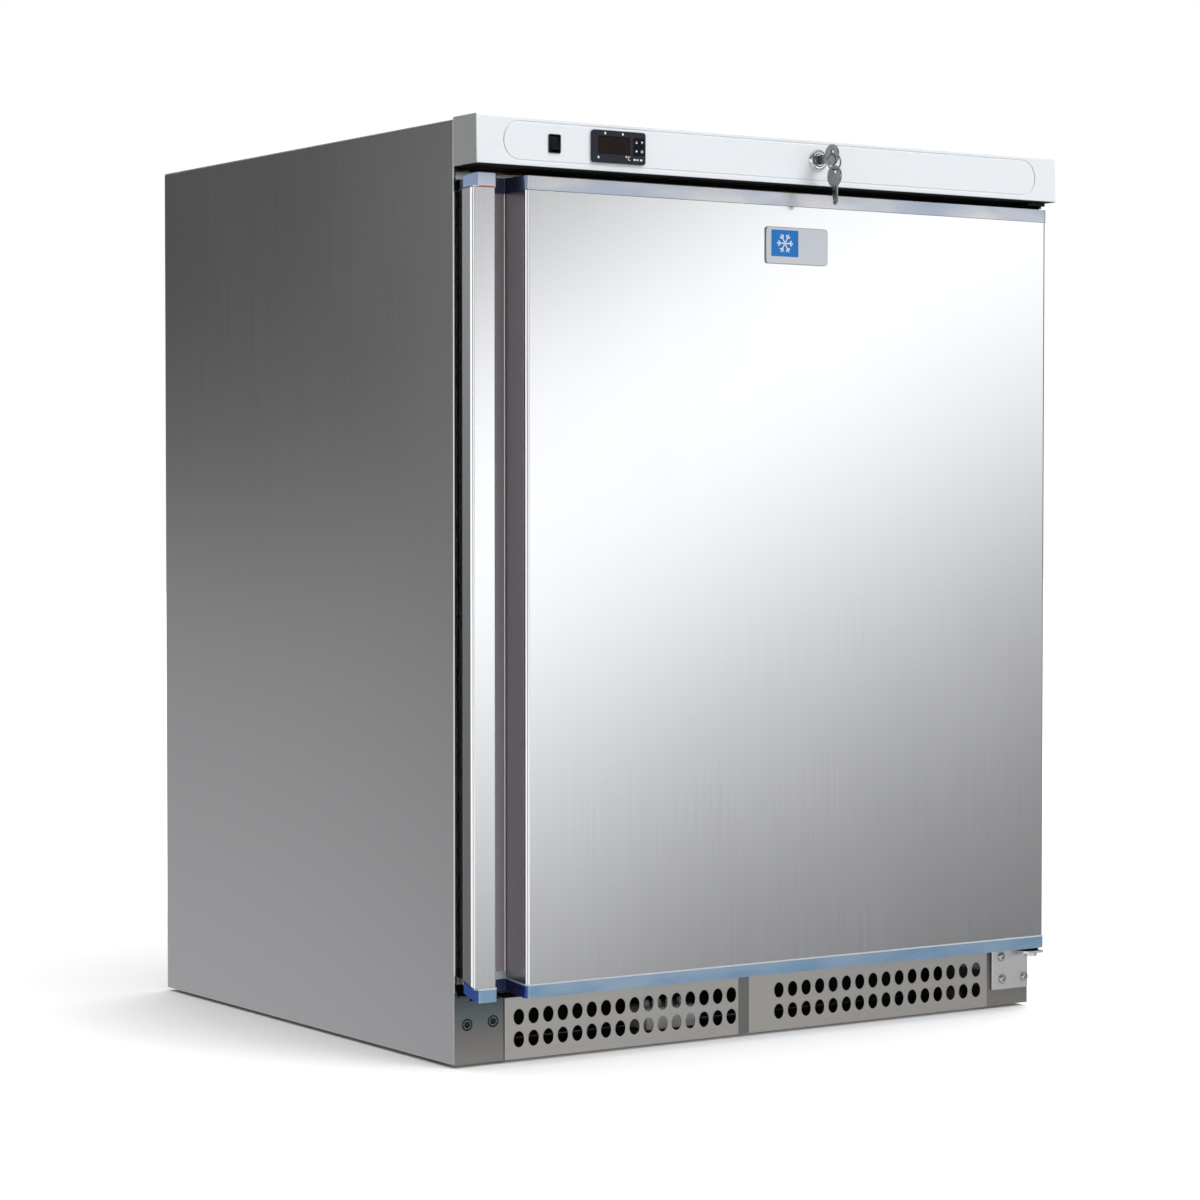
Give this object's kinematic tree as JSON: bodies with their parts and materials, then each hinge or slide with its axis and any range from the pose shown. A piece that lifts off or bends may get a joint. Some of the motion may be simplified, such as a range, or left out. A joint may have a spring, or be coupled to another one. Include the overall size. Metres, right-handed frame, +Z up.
{
  "type": "undercounter refrigerator",
  "caption": "Undercounter commercial refrigerator: stainless cabinet, right-hung solid door with a full-height finger grip, keyed control fascia, wire shelves and rear machine bay.",
  "frame": {"origin": "middle of the bounding box in X and Y, on the floor under the feet", "axes": "+Z up, +X to the user's right when facing the door, +Y from the door to the back"},
  "size_m": [0.654, 0.6256, 0.822],
  "materials": {
    "stainless": "brushed stainless sheet",
    "dark_stainless": "brushed stainless sheet, darker",
    "galvanised": "galvanised steel sheet",
    "plated_steel": "bright zinc-plated steel",
    "chrome": "polished chrome plate",
    "fascia_plastic": "pale grey moulded plastic, satin",
    "white_plastic": "white vacuum-formed plastic",
    "cap_plastic": "blue-grey moulded plastic",
    "black_plastic": "black moulded plastic",
    "display_lens": "dark red-brown clear plastic, polished",
    "rubber": "black rubber",
    "gasket": "grey soft magnetic gasket",
    "foam": "blown polyurethane foam",
    "badge": "pale grey printed plate",
    "coated_wire": "pale plastic-coated steel wire",
    "aluminium": "plain aluminium fins",
    "black_steel": "black enamelled steel",
    "copper": "copper tube"
  },
  "bodies": {
    "cabinet": {"side_panel_left": "stainless", "side_panel_right": "stainless", "top_panel": "stainless", "front_frame": "stainless", "grille_panel": "stainless", "corner_plate_left": "dark_stainless", "corner_plate_right": "dark_stainless", "back_panel": "galvanised", "machine_bay_panel": "galvanised", "base_tray": "galvanised", "lower_hinge_plate": "plated_steel", "lower_hinge_pin": "plated_steel", "upper_hinge_plate": "plated_steel", "upper_hinge_pin": "plated_steel", "lock_barrel": "chrome", "fascia_cover": "fascia_plastic", "inner_liner": "white_plastic", "evaporator_cover": "white_plastic", "condensate_tray": "white_plastic", "controller_body": "black_plastic", "controller_bezel": "black_plastic", "switch_housing": "black_plastic", "fan_motor": "black_plastic", "temperature_probe": "black_plastic", "compressor_terminal_cover": "black_plastic", "mains_gland": "black_plastic", "display_lens": "display_lens", "cabinet_foam": "foam", "shelf_1": "coated_wire", "shelf_2": "coated_wire", "shelf_3": "coated_wire", "fan_guard": "coated_wire", "evaporator": "aluminium", "compressor": "black_steel", "condenser_coil": "black_steel", "discharge_tube": "copper", "filter_dryer": "copper"},
    "door": {"door_skin": "stainless", "door_foam": "foam", "door_inner_panel": "white_plastic", "door_gasket": "gasket", "door_top_cap": "cap_plastic", "door_bottom_cap": "cap_plastic", "door_badge": "badge", "lower_hinge_bush": "black_plastic", "upper_hinge_bush": "black_plastic"},
    "lock": {"lock_plug": "chrome", "lock_cam": "plated_steel", "lock_key": "chrome"},
    "key_ring": {"key_ring": "chrome"},
    "switch_rocker": {"switch_rocker": "black_plastic"},
    "button_up": {"button_up": "black_plastic"},
    "button_down": {"button_down": "black_plastic"},
    "button_set": {"button_set": "black_plastic"},
    "button_defrost": {"button_defrost": "black_plastic"},
    "fan": {"fan_blade": "black_plastic"},
    "foot_front_left": {"foot_front_left": "rubber"},
    "foot_front_right": {"foot_front_right": "rubber"},
    "foot_rear_left": {"foot_rear_left": "rubber"},
    "foot_rear_right": {"foot_rear_right": "rubber"}
  },
  "joints": [
    {"name": "door_hinge", "type": "hinge", "parent": "cabinet", "child": "door", "pos_m": [0.318, -0.25925, 0.06], "axis": [0, 0, 1], "range_deg": [0, 115]},
    {"name": "lock_turn", "type": "hinge", "parent": "cabinet", "child": "lock", "pos_m": [0.0386, -0.28175, 0.803], "axis": [0, 1, 0], "range_deg": [0, 90]},
    {"name": "key_ring_hang", "type": "hinge", "parent": "lock", "child": "key_ring", "pos_m": [0.0401, -0.30395, 0.8001], "axis": [0, 1, 0], "range_deg": [-90, 0]},
    {"name": "switch_rock", "type": "hinge", "parent": "cabinet", "child": "switch_rocker", "pos_m": [-0.2482, -0.27975, 0.8005], "axis": [1, 0, 0], "range_deg": [0, 18]},
    {"name": "button_up_press", "type": "slide", "parent": "cabinet", "child": "button_up", "axis": [0, 1, 0], "range_m": [0, 0.0006], "stiffness_N_per_m": 500},
    {"name": "button_down_press", "type": "slide", "parent": "cabinet", "child": "button_down", "axis": [0, 1, 0], "range_m": [0, 0.0006], "stiffness_N_per_m": 500},
    {"name": "button_set_press", "type": "slide", "parent": "cabinet", "child": "button_set", "axis": [0, 1, 0], "range_m": [0, 0.0006], "stiffness_N_per_m": 500},
    {"name": "button_defrost_press", "type": "slide", "parent": "cabinet", "child": "button_defrost", "axis": [0, 1, 0], "range_m": [0, 0.0006], "stiffness_N_per_m": 500},
    {"name": "fan_spin", "type": "hinge", "parent": "cabinet", "child": "fan", "pos_m": [0, 0.19875, 0.658], "axis": [0, 1, 0], "continuous": true},
    {"name": "foot_front_left_turn", "type": "hinge", "parent": "cabinet", "child": "foot_front_left", "pos_m": [-0.29, -0.19825, 0], "axis": [0, 0, 1], "continuous": true},
    {"name": "foot_front_right_turn", "type": "hinge", "parent": "cabinet", "child": "foot_front_right", "pos_m": [0.29, -0.19825, 0], "axis": [0, 0, 1], "continuous": true},
    {"name": "foot_rear_left_turn", "type": "hinge", "parent": "cabinet", "child": "foot_rear_left", "pos_m": [-0.29, 0.27175, 0], "axis": [0, 0, 1], "continuous": true},
    {"name": "foot_rear_right_turn", "type": "hinge", "parent": "cabinet", "child": "foot_rear_right", "pos_m": [0.29, 0.27175, 0], "axis": [0, 0, 1], "continuous": true}
  ],
  "couplings": [
    {"joint": "key_ring_hang", "follows": "lock_turn", "ratio": -1}
  ]
}
